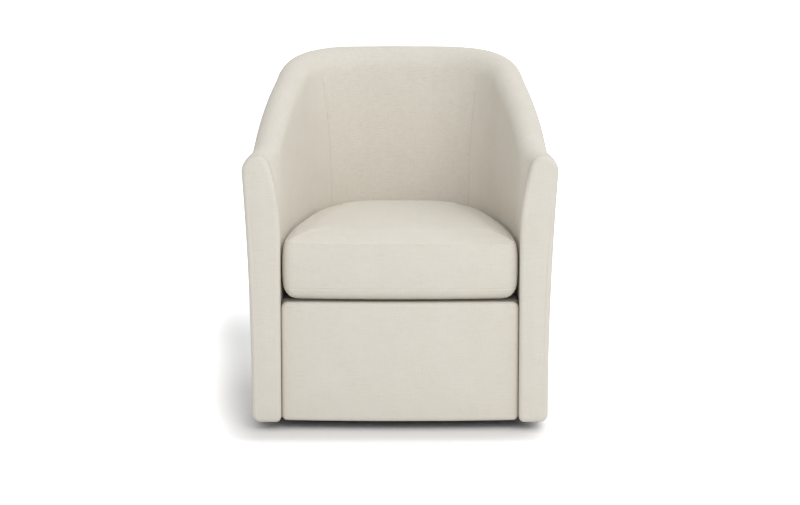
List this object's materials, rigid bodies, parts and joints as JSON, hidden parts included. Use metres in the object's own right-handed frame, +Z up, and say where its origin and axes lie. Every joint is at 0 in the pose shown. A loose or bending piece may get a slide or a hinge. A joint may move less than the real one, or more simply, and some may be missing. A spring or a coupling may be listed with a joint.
{
  "type": "upholstered barrel swivel chair",
  "caption": "Fully upholstered barrel armchair with a wrapped back that sweeps down into the arms and a loose box seat cushion, turning on a hidden ball-bearing swivel base.",
  "frame": {"origin": "on the floor under the swivel axis, which is the middle of the chair's footprint at rest", "axes": "+Z up, the chair faces -Y at rest, +X to the right as seen from the front"},
  "size_m": [0.731, 0.765, 0.838],
  "materials": {
    "linen": "natural off-white linen weave with slubs",
    "deck_cloth": "plain platform cloth",
    "dust_cloth": "black spun cambric",
    "foam": "cream polyurethane foam",
    "webbing": "elastic webbing",
    "plywood": "birch plywood",
    "hardwood": "kiln-dried hardwood",
    "black_steel": "black powder coat",
    "zinc_steel": "zinc plated",
    "ball_steel": "polished",
    "nylon": "natural nylon",
    "glide_plastic": "black nylon"
  },
  "bodies": {
    "base": {"floor_glides": "glide_plastic", "base_ring": "black_steel", "base_cross": "black_steel", "lower_bearing_plate": "zinc_steel", "pivot_pin": "zinc_steel", "pivot_washer": "zinc_steel", "pivot_nut": "zinc_steel", "base_bolts": "zinc_steel", "base_nuts": "zinc_steel"},
    "bearing": {"ball_cage": "nylon", "bearing_balls": "ball_steel"},
    "chair": {"inside_back": "linen", "inside_wing_left": "linen", "inside_wing_right": "linen", "outside_back": "linen", "outside_wing_left": "linen", "outside_wing_right": "linen", "arm_front_left": "linen", "arm_front_right": "linen", "front_apron": "linen", "seat_deck": "deck_cloth", "dust_cover": "dust_cloth", "seat_webbing_long": "webbing", "seat_webbing_cross": "webbing", "swivel_board": "plywood", "bottom_rib": "plywood", "seat_rib": "plywood", "side_rail_left": "plywood", "side_rail_right": "plywood", "rear_rail": "plywood", "front_panel": "plywood", "front_bearer": "hardwood", "rear_bearer": "hardwood", "corner_blocks": "hardwood", "back_top_rail": "hardwood", "arm_rail_left": "hardwood", "arm_rail_right": "hardwood", "arm_post_left": "hardwood", "arm_post_right": "hardwood", "wing_post_left": "hardwood", "wing_post_right": "hardwood", "corner_post_left": "hardwood", "corner_post_right": "hardwood", "back_post_left": "hardwood", "back_post_right": "hardwood", "upper_bearing_plate": "zinc_steel", "board_bolts": "zinc_steel", "tee_nuts": "zinc_steel", "pivot_bush": "nylon"},
    "cushion": {"cushion_cover": "linen", "cushion_core": "foam"}
  },
  "joints": [
    {"name": "swivel", "type": "hinge", "parent": "base", "child": "chair", "pos_m": [0, 0, 0.05], "axis": [0, 0, 1], "continuous": true},
    {"name": "cage_turn", "type": "hinge", "parent": "base", "child": "bearing", "pos_m": [0, 0, 0.05], "axis": [0, 0, 1], "continuous": true},
    {"name": "cushion_lift", "type": "slide", "parent": "chair", "child": "cushion", "axis": [0, 0, 1], "range_m": [0, 0.3]}
  ],
  "couplings": [
    {"joint": "cage_turn", "follows": "swivel", "ratio": 0.5}
  ]
}
